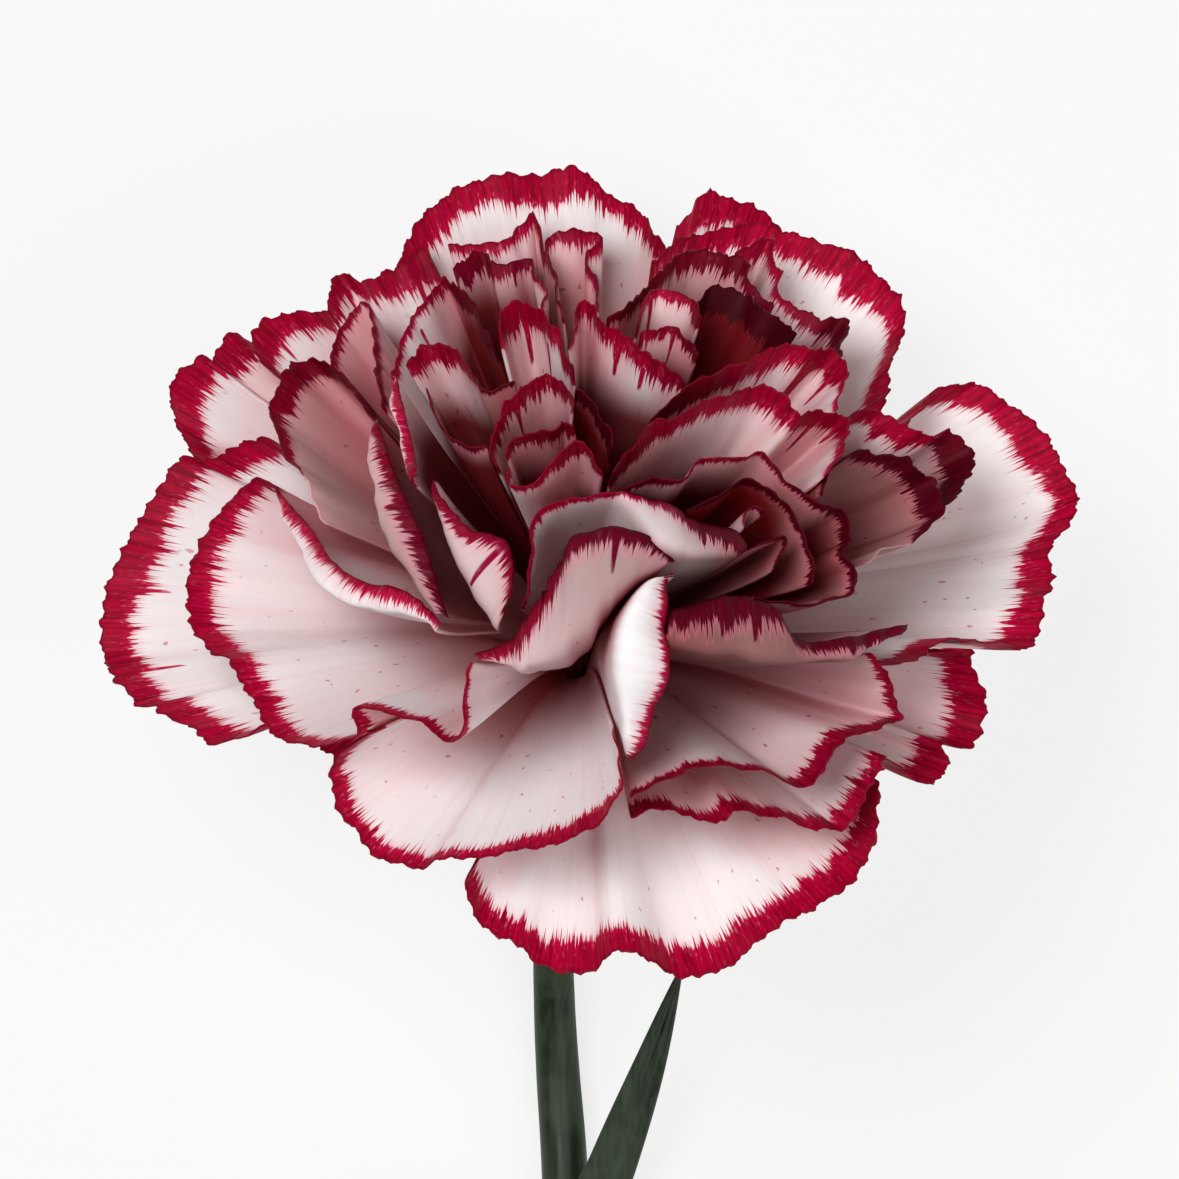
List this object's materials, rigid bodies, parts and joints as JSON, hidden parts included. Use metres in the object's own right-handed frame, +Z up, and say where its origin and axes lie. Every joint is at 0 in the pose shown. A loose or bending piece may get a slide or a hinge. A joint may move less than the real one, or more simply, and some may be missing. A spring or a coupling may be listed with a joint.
{
  "type": "cut carnation",
  "caption": "Cut carnation lying on its side: a full bloom of frilled petals in a ribbed calyx, on a jointed stem with narrow opposite leaves.",
  "frame": {"origin": "on the table, under the middle of the box round the whole flower", "axes": "+Z up from the table, +Y from the cut end of the stem towards the bloom, +X to the right when the bloom is seen from above with the stem towards the viewer"},
  "size_m": [0.08, 0.248, 0.0654],
  "materials": {
    "petal": "soft satin, pale pink with a crimson frilled edge",
    "calyx": "smooth, waxy green",
    "bracts": "smooth, waxy green",
    "stem": "smooth, waxy blue-green",
    "leaf": "matt, waxy blue-green"
  },
  "bodies": {
    "root": {"petal_guard_under_left": "petal", "petal_guard_under_right": "petal", "petal_guard_left_low": "petal", "petal_guard_right_low": "petal", "petal_guard_front": "petal", "petal_front_low_left": "petal", "petal_front_right": "petal", "petal_front_right_under": "petal", "petal_front_right_flank": "petal", "petal_right_low": "petal", "petal_right_big": "petal", "petal_top_right_big": "petal", "petal_top_right_small": "petal", "petal_top_left_big": "petal", "petal_left_top_outer": "petal", "petal_left_top_second": "petal", "petal_left_outer": "petal", "petal_left_mid": "petal", "petal_left_inner": "petal", "petal_left_peak": "petal", "petal_left_crest": "petal", "petal_upper_left_blade": "petal", "petal_top_inner_back": "petal", "petal_top_inner_mid": "petal", "petal_top_center_flag": "petal", "petal_center_left_cup": "petal", "petal_center_flame": "petal", "petal_center_bud_top": "petal", "petal_center_bud_back": "petal", "petal_center_bud_front": "petal", "petal_center_bud_right": "petal", "petal_center_slope": "petal", "petal_rosette_ring": "petal", "petal_rosette_fan": "petal", "petal_rosette_bud_back": "petal", "petal_rosette_bud_front": "petal", "petal_rosette_dark": "petal", "petal_right_mid_fan": "petal", "petal_right_mid_second": "petal", "petal_right_band": "petal", "petal_right_round": "petal", "petal_right_hood": "petal", "petal_cavity_back": "petal", "petal_cavity_right": "petal", "petal_cavity_curl": "petal", "petal_center_wave": "petal", "petal_center_wave_under": "petal", "petal_center_front_wave": "petal", "petal_white_narrow": "petal", "petal_left_blade_outer": "petal", "petal_left_blade_middle": "petal", "petal_left_blade_inner": "petal", "petal_left_lip": "petal", "calyx": "calyx", "bracts": "bracts", "stem": "stem", "leaf_upper_right": "leaf", "leaf_upper_left": "leaf", "leaf_lower_right": "leaf", "leaf_lower_left": "leaf"}
  },
  "joints": []
}
